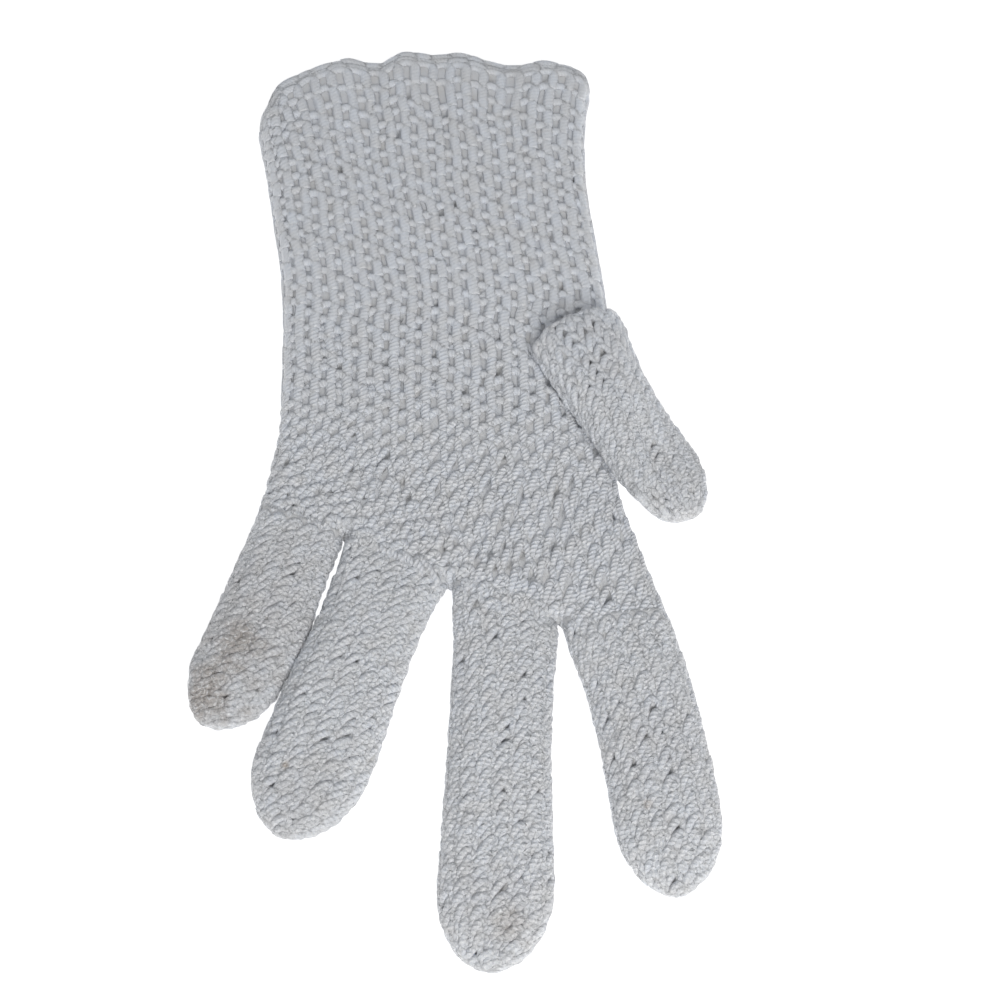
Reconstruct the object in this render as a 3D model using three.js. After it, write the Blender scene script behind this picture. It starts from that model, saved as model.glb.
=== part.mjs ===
// Knit glove lying flat, with a straight gauntlet cuff, the hand, four fingers and the thumb.
// Every piece is a flattened knitted tube: an outer skin, an inner skin and a rim where it is open.
// Millimetres. +Z is up, the fingers point to -Y and the thumb lies on the +X side.

import * as THREE from "three";

// Driving dimensions
const WALL = 1.8;
const SEAM_GAP = 0.35;
const WIDE_EDGE = 4.4;
const NARROW_EDGE = 6.6;
const ROOT_EDGE = 2.4;
const ROOT_BLEND = 14;
const CROWN = 0.2;
const MIDDLE_SHARE = 0.46;
const EDGE_STEPS = 3;
const ROW_STEP = 6.8;

// Where the hand meets the fingers: the points between neighbouring fingers, left to right
const FINGER_LINE = [
  { x: -46.0, y: -15.7 },
  { x: -25.8, y: -22.6 },
  { x: -1.5, y: -33.8 },
  { x: 23.1, y: -42.9 },
  { x: 47.5, y: -40.0 },
];

// Cuff rows from the hem to the wrist; hem_share says how much of the hem's outline a row follows
const CUFF_ROWS = [
  { left_x: -53.2, left_y: 89.4, right_x: 34.1, right_y: 101.4, hem_share: 1.0, thick: 9.9, wave: 0.8 },
  { left_x: -52.3, left_y: 84.5, right_x: 32.6, right_y: 94.0, hem_share: 0.7, thick: 9.9, wave: 0.6 },
  { left_x: -50.9, left_y: 78.5, right_x: 31.8, right_y: 84.0, hem_share: 0.4, thick: 9.7, wave: 0.4 },
  { left_x: -48.9, left_y: 68.6, right_x: 32.2, right_y: 71.0, hem_share: 0.16, thick: 9.5, wave: 0.2 },
  { left_x: -46.7, left_y: 57.4, right_x: 33.7, right_y: 58.0, hem_share: 0.04, thick: 9.5, wave: 0.1 },
  { left_x: -44.6, left_y: 46.2, right_x: 35.2, right_y: 46.2, hem_share: 0.0, thick: 9.5, wave: 0.0 },
];

// The hem's outline over the straight line between its two ends, across from 0 to 1
const HEM_OUTLINE = [
  { across: 0.0, rise: 0.0 },
  { across: 0.03, rise: 5.0 },
  { across: 0.08, rise: 11.6 },
  { across: 0.14, rise: 15.4 },
  { across: 0.27, rise: 16.4 },
  { across: 0.37, rise: 14.4 },
  { across: 0.42, rise: 16.2 },
  { across: 0.57, rise: 14.6 },
  { across: 0.67, rise: 10.6 },
  { across: 0.79, rise: 8.4 },
  { across: 0.93, rise: 7.6 },
  { across: 0.98, rise: 4.2 },
  { across: 1.0, rise: 0.0 },
];

// Hand rows from the wrist to the fingers; web_share says how much of the finger line a row follows
const HAND_ROWS = [
  { left_x: -44.55, left_y: 45.85, right_x: 35.25, right_y: 45.85, web_share: 0.0, thick: 9.5 },
  { left_x: -43.6, left_y: 37.0, right_x: 36.2, right_y: 37.0, web_share: 0.0, thick: 9.5 },
  { left_x: -42.9, left_y: 25.0, right_x: 36.6, right_y: 24.0, web_share: 0.0, thick: 9.5 },
  { left_x: -42.6, left_y: 13.5, right_x: 36.9, right_y: 10.5, web_share: 0.05, thick: 9.5 },
  { left_x: -42.7, left_y: 3.0, right_x: 37.2, right_y: -2.0, web_share: 0.15, thick: 9.5 },
  { left_x: -43.8, left_y: -5.0, right_x: 38.2, right_y: -13.0, web_share: 0.35, thick: 9.5 },
  { left_x: -44.9, left_y: -11.0, right_x: 42.4, right_y: -25.5, web_share: 0.65, thick: 9.5 },
  { left_x: -46.0, left_y: -15.7, right_x: 47.5, right_y: -40.0, web_share: 1.0, thick: 9.5 },
];

// Finger rows from the hand to the tip: the middle of the row, its width and its thickness
const FINGER_ROWS = {
  finger_little: [
    { x: -35.9, y: -19.15, width: 21.0, thick: 9.5 },
    { x: -37.5, y: -24.0, width: 21.2, thick: 9.5 },
    { x: -40.9, y: -33.4, width: 21.2, thick: 9.4 },
    { x: -44.4, y: -43.0, width: 20.8, thick: 9.4 },
    { x: -47.7, y: -51.5, width: 20.8, thick: 9.3 },
    { x: -50.9, y: -58.0, width: 20.6, thick: 9.0 },
    { x: -55.2, y: -64.6, width: 19.4, thick: 8.6 },
  ],
  finger_ring: [
    { x: -13.65, y: -28.2, width: 26.4, thick: 9.5 },
    { x: -15.8, y: -33.6, width: 24.7, thick: 9.7 },
    { x: -20.0, y: -44.6, width: 23.8, thick: 9.7 },
    { x: -24.3, y: -55.7, width: 24.9, thick: 9.7 },
    { x: -28.1, y: -67.3, width: 25.7, thick: 9.7 },
    { x: -31.5, y: -76.0, width: 25.3, thick: 9.5 },
    { x: -36.2, y: -88.6, width: 24.0, thick: 9.0 },
  ],
  finger_middle: [
    { x: 10.8, y: -38.35, width: 25.9, thick: 9.5 },
    { x: 11.1, y: -45.0, width: 23.8, thick: 9.7 },
    { x: 10.4, y: -57.0, width: 23.0, thick: 9.7 },
    { x: 9.8, y: -70.0, width: 22.9, thick: 9.7 },
    { x: 9.4, y: -84.0, width: 23.8, thick: 9.7 },
    { x: 9.0, y: -98.0, width: 24.8, thick: 9.5 },
    { x: 7.2, y: -114.9, width: 24.0, thick: 9.0 },
  ],
  finger_index: [
    { x: 35.3, y: -41.45, width: 24.2, thick: 9.5 },
    { x: 37.5, y: -47.5, width: 24.0, thick: 9.7 },
    { x: 40.9, y: -59.0, width: 23.6, thick: 9.7 },
    { x: 43.2, y: -70.0, width: 23.5, thick: 9.7 },
    { x: 44.8, y: -80.0, width: 23.6, thick: 9.7 },
    { x: 45.7, y: -88.5, width: 23.0, thick: 9.4 },
    { x: 46.6, y: -100.3, width: 21.0, thick: 8.8 },
  ],
};

// Thumb rows from the fold at its root to the tip; middle is the share of the thickness below its edges
const THUMB_ROWS = [
  { x: 26.4, y: 31.2, width: 25.0, thick: 8.4, middle: 0.2 },
  { x: 31.2, y: 21.2, width: 23.4, thick: 9.6, middle: 0.24 },
  { x: 36.7, y: 10.8, width: 21.8, thick: 9.8, middle: 0.3 },
  { x: 42.4, y: 0.8, width: 21.4, thick: 9.7, middle: 0.36 },
  { x: 47.5, y: -7.1, width: 21.6, thick: 9.5, middle: 0.42 },
  { x: 51.7, y: -11.6, width: 20.4, thick: 9.2, middle: 0.44 },
  { x: 56.2, y: -16.0, width: 18.4, thick: 8.6, middle: 0.44 },
];

// How much of the width a rounded tip takes along the finger
const TIP_LENGTH = 0.64;

// The hand is pressed down where the thumb lies over it
const PRESS = { depth: 2.6, from_x: 11, full_x: 19, low_y: -16, high_y: 40, soft: 7 };

// How far the thumb's upper side bridges the step beside the hand
const BRIDGE_SHARE = 0.6;

// Clearance under the thumb, and where and how far out its cloth falls beside the hand
const THUMB_LIFT = 0.6;
const DRAPE_START = 0.8;
const DRAPE_REACH = 10.5;

// The thumb opening between hand and thumb, as spans in the plan view and along the thumb
const HAND_OPENING = { low_x: 24.0, high_x: 33.5, low_y: 15.0, high_y: 29.0 };
const THUMB_OPENING = { from: 4.5, to: 22.0, across: 0.62 };

// Small helpers
const clamp = (v, lo, hi) => Math.min(hi, Math.max(lo, v));

function smooth(v) {
  const t = clamp(v, 0, 1);
  return t * t * (3 - 2 * t);
}

function linear(table, from, to, where) {
  for (let i = 1; i < table.length; i += 1) {
    if (where <= table[i][from] || i === table.length - 1) {
      const a = table[i - 1];
      const b = table[i];
      const t = clamp((where - a[from]) / (b[from] - a[from]), 0, 1);
      return a[to] + (b[to] - a[to]) * t;
    }
  }
  return table[0][to];
}

// A smooth value between the rows of a table whose places are in spots
function between(table, spots, key, where) {
  const last = table.length - 1;
  let i = 0;
  while (i < last - 1 && where > spots[i + 1]) {
    i += 1;
  }
  const slope = (k) => {
    const lo = Math.max(0, k - 1);
    const hi = Math.min(last, k + 1);
    return (table[hi][key] - table[lo][key]) / (spots[hi] - spots[lo]);
  };
  const span = spots[i + 1] - spots[i];
  const t = clamp((where - spots[i]) / span, 0, 1);
  const a = table[i][key];
  const b = table[i + 1][key];
  const t2 = t * t;
  const t3 = t2 * t;
  return (
    a * (2 * t3 - 3 * t2 + 1) +
    slope(i) * span * (t3 - 2 * t2 + t) +
    b * (3 * t2 - 2 * t3) +
    slope(i + 1) * span * (t3 - t2)
  );
}

// Places around a flattened tube: share of the half width, and 1 for the top, -1 for the bottom
function placesAround(halfWidth, radius, flatSteps) {
  const flat = Math.max(0.2, 1 - radius / halfWidth);
  const half = [1];
  for (let k = EDGE_STEPS - 1; k >= 1; k -= 1) {
    half.push(flat + (1 - flat) * Math.sin((k / EDGE_STEPS) * (Math.PI / 2)));
  }
  for (let k = 0; k <= flatSteps; k += 1) {
    half.push(flat - (2 * flat * k) / flatSteps);
  }
  for (let k = 1; k < EDGE_STEPS; k += 1) {
    half.push(-(flat + (1 - flat) * Math.sin((k / EDGE_STEPS) * (Math.PI / 2))));
  }
  const top = half.map((across) => ({ across, side: 1 }));
  const bottom = [...half.slice(1), -1].reverse().map((across) => ({ across, side: -1 }));
  return [...top, ...bottom];
}

// Half thickness across the width, as a share of the thickest
function fullness(across, halfWidth, radius) {
  const a = Math.abs(across);
  const flat = Math.max(0, 1 - radius / halfWidth);
  const crown = 1 - CROWN * a ** 2.5;
  const q = clamp((a - flat) / (1 - flat), 0, 1);
  return crown * Math.sqrt(Math.max(0, 1 - q * q));
}

// Heights of the outer and the inner skin over whatever the cloth lies on
function skinHeights(place, halfWidth, thick) {
  const share = fullness(place.across, halfWidth, WIDE_EDGE);
  const middle = MIDDLE_SHARE * thick;
  const half = thick / 2;
  const outer = middle + place.side * half * 1.08 * share;
  const inner = middle + place.side * Math.max(0.15, half * 1.08 - WALL) * share;
  return { outer: Math.max(0, outer), inner: Math.max(WALL * 0.98, inner) };
}

function pressed(x, y) {
  const sideways = smooth((x - PRESS.from_x) / (PRESS.full_x - PRESS.from_x));
  const along = smooth((y - PRESS.low_y) / PRESS.soft) * smooth((PRESS.high_y - y) / PRESS.soft);
  return PRESS.depth * sideways * along;
}

// One closed shell from outer and inner rows, with rims at open ends and around left out cells
function shell(name, outer, inner, options) {
  const rows = outer.length;
  const around = outer[0].length;
  const points = [];
  for (const skin of [outer, inner]) {
    for (const row of skin) {
      for (const p of row) {
        points.push(p.x, p.y, p.z);
      }
    }
  }
  const id = (skin, i, j) => skin * rows * around + i * around + ((j + around) % around);
  const addPoint = (p) => {
    points.push(p.x, p.y, p.z);
    return points.length / 3 - 1;
  };
  const leftOut = options.leftOut || (() => false);
  const present = (i, j) => i >= 0 && i < rows - 1 && !leftOut(i, (j + around) % around);
  const faces = [];
  for (let i = 0; i < rows - 1; i += 1) {
    for (let j = 0; j < around; j += 1) {
      if (!present(i, j)) {
        continue;
      }
      const corners = [[i, j], [i + 1, j], [i + 1, j + 1], [i, j + 1]];
      const o = corners.map(([a, b]) => id(0, a, b));
      const n = corners.map(([a, b]) => id(1, a, b));
      faces.push(o[0], o[1], o[2], o[0], o[2], o[3]);
      faces.push(n[0], n[2], n[1], n[0], n[3], n[2]);
      const neighbours = [[i, j - 1], [i + 1, j], [i, j + 1], [i - 1, j]];
      for (let k = 0; k < 4; k += 1) {
        const [ni, nj] = neighbours[k];
        const closed = (ni < 0 && options.start) || (ni > rows - 2 && options.end);
        if (present(ni, nj) || closed) {
          continue;
        }
        const p = k;
        const q = (k + 1) % 4;
        faces.push(o[q], o[p], n[p], o[q], n[p], n[q]);
      }
    }
  }
  if (options.start) {
    const a = addPoint(options.start.outer);
    const b = addPoint(options.start.inner);
    for (let j = 0; j < around; j += 1) {
      faces.push(a, id(0, 0, j), id(0, 0, j + 1));
      faces.push(b, id(1, 0, j + 1), id(1, 0, j));
    }
  }
  if (options.end) {
    const a = addPoint(options.end.outer);
    const b = addPoint(options.end.inner);
    for (let j = 0; j < around; j += 1) {
      faces.push(id(0, rows - 1, j), a, id(0, rows - 1, j + 1));
      faces.push(id(1, rows - 1, j + 1), b, id(1, rows - 1, j));
    }
  }
  let volume = 0;
  const at = (k) => new THREE.Vector3(points[3 * k], points[3 * k + 1], points[3 * k + 2]);
  for (let f = 0; f < faces.length; f += 3) {
    volume += at(faces[f]).dot(at(faces[f + 1]).cross(at(faces[f + 2]))) / 6;
  }
  if (volume < 0) {
    for (let f = 0; f < faces.length; f += 3) {
      [faces[f + 1], faces[f + 2]] = [faces[f + 2], faces[f + 1]];
    }
  }
  const geometry = new THREE.BufferGeometry();
  geometry.setAttribute("position", new THREE.Float32BufferAttribute(points, 3));
  geometry.setIndex(faces);
  geometry.computeVertexNormals();
  const material = new THREE.MeshStandardMaterial({
    name: `${name}_yarn`,
    color: options.color,
    roughness: 0.82,
    metalness: 0,
  });
  const mesh = new THREE.Mesh(geometry, material);
  mesh.name = name;
  return mesh;
}

// The wide tubes of cuff and hand
const WIDE_PLACES = placesAround(40, WIDE_EDGE, 14);

function wideRow(table, shapeOf, share, spots, where) {
  const value = (key) => between(table, spots, key, where);
  const left = new THREE.Vector2(value("left_x"), value("left_y"));
  const right = new THREE.Vector2(value("right_x"), value("right_y"));
  const thick = value("thick");
  const wave = table[0].wave === undefined ? 0 : value("wave");
  const halfWidth = left.distanceTo(right) / 2;
  const part = value(share);
  const point = (place, skin) => {
    const reach = skin === "outer" ? 1 : (halfWidth - WALL) / halfWidth;
    const across = (place.across * reach + 1) / 2;
    const x = left.x + (right.x - left.x) * across;
    const y = left.y + (right.y - left.y) * across + part * shapeOf(across);
    const full = fullness(place.across, halfWidth, WIDE_EDGE);
    let z = skinHeights(place, halfWidth, thick)[skin];
    if (place.side > 0) {
      z -= pressed(x, y) * full;
      z += wave * Math.sin(across * 31 + 0.6) * full;
    }
    return new THREE.Vector3(x, y, z);
  };
  return {
    outer: WIDE_PLACES.map((place) => point(place, "outer")),
    inner: WIDE_PLACES.map((place) => point(place, "inner")),
  };
}

function wideTube(name, table, shapeOf, share, steps, color, leftOut) {
  const spots = table.map((row, i) => i);
  const outer = [];
  const inner = [];
  for (let k = 0; k <= steps; k += 1) {
    const row = wideRow(table, shapeOf, share, spots, (k / steps) * (table.length - 1));
    outer.push(row.outer);
    inner.push(row.inner);
  }
  const cut = leftOut ? leftOut(outer) : undefined;
  return shell(name, outer, inner, { color, leftOut: cut });
}

const hemShape = (across) => linear(HEM_OUTLINE, "across", "rise", across);

function webShape(across) {
  const first = FINGER_LINE[0];
  const last = FINGER_LINE[FINGER_LINE.length - 1];
  const x = first.x + (last.x - first.x) * across;
  const straight = first.y + (last.y - first.y) * across;
  return linear(FINGER_LINE, "x", "y", x) - straight;
}

// The opening in the top of the hand, under the root of the thumb
function handOpening(rows) {
  const inside = (p) =>
    p.x > HAND_OPENING.low_x &&
    p.x < HAND_OPENING.high_x &&
    p.y > HAND_OPENING.low_y &&
    p.y < HAND_OPENING.high_y;
  return (i, j) => {
    const next = (j + 1) % WIDE_PLACES.length;
    if (WIDE_PLACES[j].side < 0 || WIDE_PLACES[next].side < 0) {
      return false;
    }
    const middle = rows[i][j].clone().add(rows[i + 1][j]).add(rows[i][next]).add(rows[i + 1][next]);
    return inside(middle.multiplyScalar(0.25));
  };
}

// The height of the hand's top at a point of the plan view, softened past its thumb side
function handTop(x, y) {
  const byLeft = [...HAND_ROWS].reverse();
  const left = linear(byLeft, "left_y", "left_x", y);
  const right = linear(byLeft, "right_y", "right_x", y);
  const halfWidth = (right - left) / 2;
  const near = Math.min(x, right - 3.2);
  const across = clamp((near - (left + right) / 2) / halfWidth, -1, 1);
  const top = skinHeights({ across, side: 1 }, halfWidth, HAND_ROWS[0].thick).outer;
  const height = top - pressed(near, y) * fullness(across, halfWidth, WIDE_EDGE) + THUMB_LIFT;
  return height * (1 - smooth((x - (right - DRAPE_START)) / DRAPE_REACH));
}

// The narrow tubes of the fingers and the thumb
function narrowTube(name, table, color, options) {
  const spots = [0];
  for (let i = 1; i < table.length; i += 1) {
    const step = Math.hypot(table[i].x - table[i - 1].x, table[i].y - table[i - 1].y);
    spots.push(spots[i - 1] + step);
  }
  const length = spots[spots.length - 1];
  const levelAt = (s) => {
    const share = options.rootFold ? between(table, spots, "middle", s) : MIDDLE_SHARE;
    return share * table[1].thick;
  };
  const places = placesAround(table[1].width / 2, NARROW_EDGE, 4);
  const support = options.support || (() => 0);
  const tip = TIP_LENGTH * table[table.length - 2].width;
  const middleAt = (s) => new THREE.Vector2(between(table, spots, "x", s), between(table, spots, "y", s));
  const sideAt = (s) => {
    const ahead = middleAt(Math.min(length, s + 1)).sub(middleAt(Math.max(0, s - 1))).normalize();
    const side = new THREE.Vector2(-ahead.y, ahead.x);
    if (!options.rootSide) {
      return side;
    }
    return side.lerp(options.rootSide, 1 - smooth(s / 9)).normalize();
  };
  // The rounding of an end: 1 in the body, falling to 0 at the very end
  const rounding = (s, skin) => {
    const inset = skin === "outer" ? 0 : WALL;
    let share = 1;
    const fromTip = length - inset - s;
    const tipReach = tip - inset;
    if (fromTip < tipReach) {
      share *= Math.sqrt(Math.max(0, 1 - (1 - Math.max(0, fromTip) / tipReach) ** 2));
    }
    if (options.rootFold) {
      const reach = options.rootFold - inset;
      const fromRoot = s - inset;
      if (fromRoot < reach) {
        share *= (1 - (1 - Math.max(0, fromRoot) / reach) ** 3) ** (1 / 3);
      }
    }
    return share;
  };
  const stations = [];
  const startAt = options.rootFold ? 0 : SEAM_GAP;
  if (options.rootFold) {
    stations.push(0.05 * options.rootFold, 0.25 * options.rootFold, 0.6 * options.rootFold);
  }
  const from = options.rootFold ? options.rootFold : startAt;
  const count = Math.round((length - tip - from) / ROW_STEP);
  for (let k = 0; k <= count; k += 1) {
    stations.push(from + ((length - tip - from) * k) / count);
  }
  for (const share of [0.3, 0.55, 0.75, 0.9, 0.975]) {
    stations.push(length - tip + tip * share);
  }
  const skinStation = (s, skin) => {
    if (skin === "outer") {
      return s;
    }
    const high = length - WALL;
    if (options.rootFold) {
      return WALL + (s / length) * (high - WALL);
    }
    return startAt + ((s - startAt) / (length - startAt)) * (high - startAt);
  };
  const point = (s, place, skin) => {
    const share = rounding(s, skin);
    const width = between(table, spots, "width", s) / 2 - (skin === "outer" ? 0 : WALL);
    const halfWidth = Math.max(0.2, width * share);
    const middle = middleAt(s);
    const side = sideAt(s);
    const x = middle.x + side.x * halfWidth * place.across;
    const y = middle.y + side.y * halfWidth * place.across;
    const thick = between(table, spots, "thick", s);
    const full = between(table, spots, "width", s) / 2;
    const level = levelAt(s);
    const radius = options.rootSide
      ? ROOT_EDGE + (NARROW_EDGE - ROOT_EDGE) * smooth(s / ROOT_BLEND)
      : NARROW_EDGE;
    const swell = fullness(place.across, full, radius) * Math.sqrt(share);
    const rest = support(x, y);
    const bridge = Math.max(0, support(middle.x, middle.y) - rest) * BRIDGE_SHARE;
    const reach = place.side > 0 ? thick - level + bridge : level * 1.08;
    const half = Math.max(0.2, reach - (skin === "outer" ? 0 : WALL));
    let z = level + place.side * half * swell;
    z = Math.max(skin === "outer" ? 0 : WALL * 0.98, z);
    return new THREE.Vector3(x, y, z + rest);
  };
  const outer = stations.map((s) => places.map((place) => point(s, place, "outer")));
  const inner = stations.map((s) => places.map((place) => point(skinStation(s, "inner"), place, "inner")));
  const endPoint = (s, skin) => {
    const m = middleAt(s);
    return new THREE.Vector3(m.x, m.y, levelAt(s) + support(m.x, m.y));
  };
  const ends = { end: { outer: endPoint(length, "outer"), inner: endPoint(length - WALL, "inner") } };
  if (options.rootFold) {
    ends.start = { outer: endPoint(0, "outer"), inner: endPoint(WALL, "inner") };
  }
  const opening = options.opening;
  const leftOut = opening
    ? (i, j) => {
        const next = (j + 1) % places.length;
        const below = places[j].side < 0 && places[next].side < 0;
        const near = Math.max(Math.abs(places[j].across), Math.abs(places[next].across)) < opening.across;
        return below && near && stations[i] > opening.from && stations[i + 1] < opening.to;
      }
    : undefined;
  return shell(name, outer, inner, { color, leftOut, ...ends });
}

function finger(name, place, color) {
  const a = FINGER_LINE[place];
  const b = FINGER_LINE[place + 1];
  const rootSide = new THREE.Vector2(b.x - a.x, b.y - a.y).normalize();
  return narrowTube(name, FINGER_ROWS[name], color, { rootSide });
}

const glove = new THREE.Group();
glove.name = "knit_glove";
glove.add(
  wideTube("cuff", CUFF_ROWS, hemShape, "hem_share", 12, 0xdfdfe0),
  wideTube("hand", HAND_ROWS, webShape, "web_share", 16, 0xdcdcde, handOpening),
  finger("finger_little", 0, 0xd8d6d5),
  finger("finger_ring", 1, 0xdad9d9),
  finger("finger_middle", 2, 0xdbdada),
  finger("finger_index", 3, 0xdddcdc),
  narrowTube("thumb", THUMB_ROWS, 0xdcdbdb, {
    support: handTop,
    rootFold: 6,
    opening: THUMB_OPENING,
  }),
);

// The origin is the middle of the glove's footprint, on the surface that it lies on
const box = new THREE.Box3().setFromObject(glove);
const middle = box.getCenter(new THREE.Vector3());
for (const mesh of glove.children) {
  mesh.geometry.translate(-middle.x, -middle.y, -box.min.z);
}

export default glove;
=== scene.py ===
"""A crocheted cotton glove lying flat: yarn loops, stitch by stitch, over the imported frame.

Shapes are worked out in millimetres on the same tables as the solids, then moved into the frame in metres.
Each piece is a tube. A Surface is its outer skin, and crochet() covers that skin with rows of loops and puts
a thin wall of fabric behind them.
"""

import math

import bpy
import numpy as np
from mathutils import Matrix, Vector


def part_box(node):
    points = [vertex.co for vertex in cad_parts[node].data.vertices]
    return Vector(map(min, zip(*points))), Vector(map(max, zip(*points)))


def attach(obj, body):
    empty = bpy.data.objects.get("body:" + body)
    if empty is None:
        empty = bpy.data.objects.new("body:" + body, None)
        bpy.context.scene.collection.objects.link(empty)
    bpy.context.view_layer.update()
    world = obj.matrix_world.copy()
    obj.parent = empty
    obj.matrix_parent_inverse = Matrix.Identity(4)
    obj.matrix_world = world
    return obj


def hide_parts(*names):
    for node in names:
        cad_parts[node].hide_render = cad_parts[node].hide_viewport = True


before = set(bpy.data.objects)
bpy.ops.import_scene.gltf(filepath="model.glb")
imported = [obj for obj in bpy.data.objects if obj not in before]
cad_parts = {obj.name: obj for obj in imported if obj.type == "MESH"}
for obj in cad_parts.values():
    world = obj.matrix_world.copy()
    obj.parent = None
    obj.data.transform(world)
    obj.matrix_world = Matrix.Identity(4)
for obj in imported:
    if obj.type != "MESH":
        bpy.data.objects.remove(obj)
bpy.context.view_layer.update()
MM = 0.001

# Camera, at the photograph's angle: lens and sensor in mm, tilt in degrees, place in mm, clipping in m
CAMERA_LENS = 43.2
CAMERA_SENSOR = 36.0
CAMERA_TILT = 20.0
CAMERA_PLACE = (10.25, -105.99, 266.17)
CAMERA_CLIP = (0.01, 20.0)

camera_data = bpy.data.cameras.new("camera")
camera_data.lens = CAMERA_LENS
camera_data.sensor_width = CAMERA_SENSOR
camera_data.clip_start, camera_data.clip_end = CAMERA_CLIP
camera = bpy.data.objects.new("camera", camera_data)
camera.location = Vector(CAMERA_PLACE) * MM
camera.rotation_euler = (math.radians(CAMERA_TILT), 0.0, 0.0)
bpy.context.scene.collection.objects.link(camera)
bpy.context.scene.camera = camera

# Sections of the tubes: radius of their rounded sides, the drop from the middle to the sides and how late it
# comes, the height of the sides as a share of the thickness, and how much fuller they are than a plain round
WIDE_EDGE = 4.4
NARROW_EDGE = 6.6
ROOT_EDGE = 2.4
ROOT_BLEND = 14.0
CROWN = 0.2
CROWN_POWER = 2.5
MIDDLE_SHARE = 0.46
SWELL = 1.08
LEAST_FLAT = 0.2
HAND_THICK = 9.5

# Fingers: gap to the hand, length of the tip as a share of the width, length over which the root's edge
# turns square to the finger, and how far from a point between two fingers the hand closes
SEAM_GAP = 0.35
TIP_LENGTH = 0.64
ROOT_TURN = 9.0
WEB_RADIUS = 3.2
WEB_LEFT = 0.1

# The thumb, folded over the hand: its rounded root, how much lower and for how long it is there, its gap
# to the hand, its fall over the hand's side, and how much of the hollow beside the hand it bridges
ROOT_FOLD = 6.0
ROOT_SINK = 0.14
ROOT_RISE = 25.0
THUMB_LIFT = 0.6
DRAPE_INSET = 3.2
DRAPE_START = 0.8
DRAPE_REACH = 10.5
BRIDGE_SHARE = 0.6
LEAST_REACH = 0.2

# How the hand gives way under the thumb: where the solid does, and where its yarn does
PRESS_DEPTH = 2.6
PRESS_X = (11.0, 19.0)
PRESS_Y = (-16.0, 40.0)
PRESS_SOFT = 7.0
TUCK_START = 0.5
TUCK_SOFT = 5.0
TUCK_BEHIND = 1.0

# The slit that joins the hand and the thumb: its place in the hand, how much its fabric faces up or down,
# and its margin in the thumb
OPEN_X = (24.0, 33.5)
OPEN_Y = (15.0, 29.0)
OPEN_FACING = 0.3
OPEN_MARGIN = 1.0

# Stations along a tube, and steps round its sides and across its flats
WIDE_STATIONS = 141
WIDE_STEPS = (9, 70)
HALF_HAND = 40.0
BODY_STATIONS = 110
TIP_STATIONS = 50
FOLD_STATIONS = 22
FOLDED_STATIONS = 100
NARROW_STEPS = (8, 26)

# The cuff's soft waves across its width
WAVE_RATE = 31
WAVE_START = 0.6

# Points between neighbouring fingers, left to right
FINGER_LINE = np.array([(-46.0, -15.7), (-25.8, -22.6), (-1.5, -33.8), (23.1, -42.9), (47.5, -40.0)])

# left_x, left_y, right_x, right_y, share of the end's outline, thickness, wave
CUFF_ROWS = np.array([
    (-53.2, 89.4, 34.1, 101.4, 1.0, 9.9, 0.8),
    (-52.3, 84.5, 32.6, 94.0, 0.7, 9.9, 0.6),
    (-50.9, 78.5, 31.8, 84.0, 0.4, 9.7, 0.4),
    (-48.9, 68.6, 32.2, 71.0, 0.16, 9.5, 0.2),
    (-46.7, 57.4, 33.7, 58.0, 0.04, 9.5, 0.1),
    (-44.6, 46.2, 35.2, 46.2, 0.0, 9.5, 0.0),
])
HAND_ROWS = np.array([
    (-44.55, 45.85, 35.25, 45.85, 0.0, 9.5, 0.0),
    (-43.6, 37.0, 36.2, 37.0, 0.0, 9.5, 0.0),
    (-42.9, 25.0, 36.6, 24.0, 0.0, 9.5, 0.0),
    (-42.6, 13.5, 36.9, 10.5, 0.05, 9.5, 0.0),
    (-42.7, 3.0, 37.2, -2.0, 0.15, 9.5, 0.0),
    (-43.8, -5.0, 38.2, -13.0, 0.35, 9.5, 0.0),
    (-44.9, -11.0, 42.4, -25.5, 0.65, 9.5, 0.0),
    (-46.0, -15.7, 47.5, -40.0, 1.0, 9.5, 0.0),
])

# Across from 0 to 1, and the hem's rise over the straight line between its ends
HEM_OUTLINE = np.array([
    (0.0, 0.0), (0.022, 3.4), (0.05, 5.0), (0.058, 9.4), (0.09, 12.0), (0.14, 15.2), (0.27, 16.1),
    (0.37, 14.0), (0.42, 15.8), (0.57, 14.6), (0.67, 10.6), (0.79, 8.4), (0.93, 7.6), (0.98, 4.2),
    (1.0, 0.0),
])

# x and y of the middle, width, thickness
FINGER_ROWS = {
    "finger_little": [
        (-35.9, -19.15, 21.0, 9.5), (-37.5, -24.0, 21.2, 9.5), (-40.7, -33.3, 21.6, 9.4),
        (-43.6, -42.7, 22.4, 9.4), (-47.2, -51.3, 21.8, 9.3), (-50.6, -57.8, 21.2, 9.0),
        (-55.2, -64.6, 19.4, 8.6),
    ],
    "finger_ring": [
        (-13.65, -28.2, 26.4, 9.5), (-15.8, -33.6, 24.7, 9.7), (-20.0, -44.6, 23.8, 9.7),
        (-24.3, -55.7, 24.9, 9.7), (-28.1, -67.3, 25.7, 9.7), (-31.5, -76.0, 25.3, 9.5),
        (-36.2, -88.6, 24.0, 9.0),
    ],
    "finger_middle": [
        (10.8, -38.35, 25.9, 9.5), (11.1, -45.0, 23.8, 9.7), (10.4, -57.0, 23.0, 9.7),
        (9.8, -70.0, 22.9, 9.7), (9.4, -84.0, 23.8, 9.7), (9.0, -98.0, 24.8, 9.5),
        (7.2, -114.9, 24.0, 9.0),
    ],
    "finger_index": [
        (35.3, -41.45, 24.2, 9.5), (37.5, -47.5, 24.0, 9.7), (40.9, -59.0, 23.6, 9.7),
        (43.2, -70.0, 23.5, 9.7), (44.8, -80.0, 23.6, 9.7), (45.7, -88.5, 23.0, 9.4),
        (46.6, -100.3, 21.0, 8.8),
    ],
}

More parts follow.
